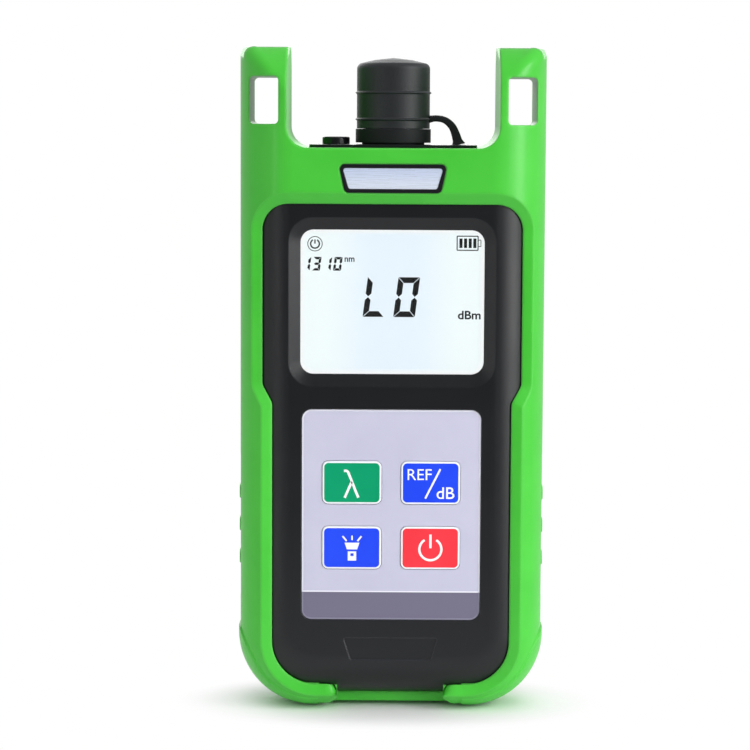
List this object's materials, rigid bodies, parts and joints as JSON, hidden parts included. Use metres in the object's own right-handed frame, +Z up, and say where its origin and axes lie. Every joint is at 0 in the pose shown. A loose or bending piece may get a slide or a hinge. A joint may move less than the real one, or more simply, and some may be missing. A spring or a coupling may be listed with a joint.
{
  "type": "optical power meter",
  "caption": "Handheld fibre optic power meter in a green rubber boot, with a display, press keys, a capped 2.5 mm ferrule port, a charging jack and a rear battery door.",
  "frame": {"origin": "on the floor under the middle of the boot, as the meter stands on its two feet", "axes": "+Z up along the meter to the ferrule port, +Y to its back (the battery door), +X to the right of the person who reads it"},
  "size_m": [0.082, 0.0332, 0.1769],
  "materials": {
    "boot_rubber": "satin moulded thermoplastic rubber",
    "case_plastic": "fine spark-eroded texture",
    "cell_jacket": "printed jacket, bare",
    "contact_steel": "nickel plated",
    "clear_window": "clear acrylic",
    "display_face": "back-lit white",
    "light_guide": "diffuser",
    "seal_rubber": "elastomer",
    "overlay_film": "printed polyester film",
    "key_green": "satin",
    "key_blue": "satin",
    "key_red": "satin",
    "switch_plastic": "moulded",
    "board_laminate": "solder mask",
    "chip_plastic": "moulded",
    "screw_steel": "zinc plated",
    "trim_black": "satin",
    "badge_silver": "satin",
    "port_plastic": "satin",
    "port_metal": "nickel plated",
    "sleeve_ceramic": "ground zirconia",
    "cap_rubber": "matt moulded rubber"
  },
  "bodies": {
    "root": {"rubber_boot": "boot_rubber", "front_shell": "case_plastic", "back_shell": "case_plastic", "battery_cell_1": "cell_jacket", "battery_cell_2": "cell_jacket", "battery_cell_3": "cell_jacket", "lower_contacts": "contact_steel", "upper_contacts": "contact_steel", "lcd_window": "clear_window", "lcd_glass": "display_face", "lcd_backlight": "light_guide", "lcd_connector": "seal_rubber", "keypad_overlay": "overlay_film", "key_switches": "switch_plastic", "main_board": "board_laminate", "processor_chip": "chip_plastic", "amplifier_chip": "chip_plastic", "crystal_can": "contact_steel", "board_screws": "screw_steel", "case_screws": "screw_steel", "badge_frame": "trim_black", "badge_plate": "badge_silver", "top_plate": "trim_black", "port_base": "port_plastic", "port_nut": "screw_steel", "port_adapter": "port_metal", "ferrule_sleeve": "sleeve_ceramic", "detector_can": "port_metal", "detector_window": "clear_window", "photodiode": "chip_plastic", "cap_tether": "cap_rubber", "dc_jack": "trim_black", "jack_pin": "contact_steel", "jack_nut": "trim_black"},
    "door": {"battery_door": "case_plastic"},
    "wavelength_key": {"key_wavelength": "key_green"},
    "reference_key": {"key_reference": "key_blue"},
    "backlight_key": {"key_backlight": "key_blue"},
    "power_key": {"key_power": "key_red"},
    "cap": {"dust_cap": "cap_rubber"}
  },
  "joints": [
    {"name": "wavelength_press", "type": "slide", "parent": "root", "child": "wavelength_key", "axis": [0, 1, 0], "range_m": [0, 0.0004], "stiffness_N_per_m": 4000},
    {"name": "reference_press", "type": "slide", "parent": "root", "child": "reference_key", "axis": [0, 1, 0], "range_m": [0, 0.0004], "stiffness_N_per_m": 4000},
    {"name": "backlight_press", "type": "slide", "parent": "root", "child": "backlight_key", "axis": [0, 1, 0], "range_m": [0, 0.0004], "stiffness_N_per_m": 4000},
    {"name": "power_press", "type": "slide", "parent": "root", "child": "power_key", "axis": [0, 1, 0], "range_m": [0, 0.0004], "stiffness_N_per_m": 4000},
    {"name": "cap_lift", "type": "slide", "parent": "root", "child": "cap", "axis": [0, 0, 1], "range_m": [0, 0.02]},
    {"name": "door_swing", "type": "hinge", "parent": "root", "child": "door", "pos_m": [0, 0.01303, 0.02797], "axis": [-1, 0, 0], "range_deg": [0, 80]}
  ]
}
